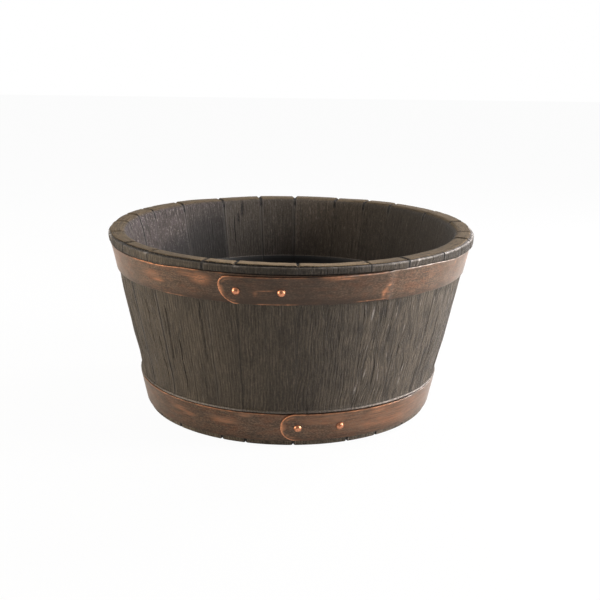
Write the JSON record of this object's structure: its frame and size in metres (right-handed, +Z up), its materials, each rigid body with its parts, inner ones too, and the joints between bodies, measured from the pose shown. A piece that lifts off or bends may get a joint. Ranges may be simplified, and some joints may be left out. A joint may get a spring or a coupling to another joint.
{
  "type": "barrel planter",
  "caption": "Coopered wooden tub planter with tapered staves round a drained head, bound by lapped and riveted metal hoops.",
  "frame": {"origin": "centre of the foot, on the plane of the stave ends that stand on the floor", "axes": "+Z up along the tub's axis, -Y towards the front where the hoop laps show, +X to the right of the front"},
  "size_m": [0.5998, 0.5999, 0.296],
  "materials": {
    "stave_wood": "dark stained, open grain",
    "head_wood": "dark, coated with bitumen on top",
    "dowel_wood": "plain hardwood",
    "hoop_metal": "dark brown patina, worn to copper",
    "rivet_metal": "bright copper, polished by wear"
  },
  "bodies": {
    "root": {"stave_01": "stave_wood", "stave_02": "stave_wood", "stave_03": "stave_wood", "stave_04": "stave_wood", "stave_05": "stave_wood", "stave_06": "stave_wood", "stave_07": "stave_wood", "stave_08": "stave_wood", "stave_09": "stave_wood", "stave_10": "stave_wood", "stave_11": "stave_wood", "stave_12": "stave_wood", "stave_13": "stave_wood", "stave_14": "stave_wood", "stave_15": "stave_wood", "stave_16": "stave_wood", "stave_17": "stave_wood", "stave_18": "stave_wood", "stave_19": "stave_wood", "stave_20": "stave_wood", "stave_21": "stave_wood", "stave_22": "stave_wood", "stave_23": "stave_wood", "head_board_1": "head_wood", "head_board_2": "head_wood", "head_board_3": "head_wood", "head_board_4": "head_wood", "head_board_5": "head_wood", "head_dowels": "dowel_wood", "top_hoop": "hoop_metal", "bottom_hoop": "hoop_metal", "top_hoop_rivets": "rivet_metal", "bottom_hoop_rivets": "rivet_metal"}
  },
  "joints": []
}
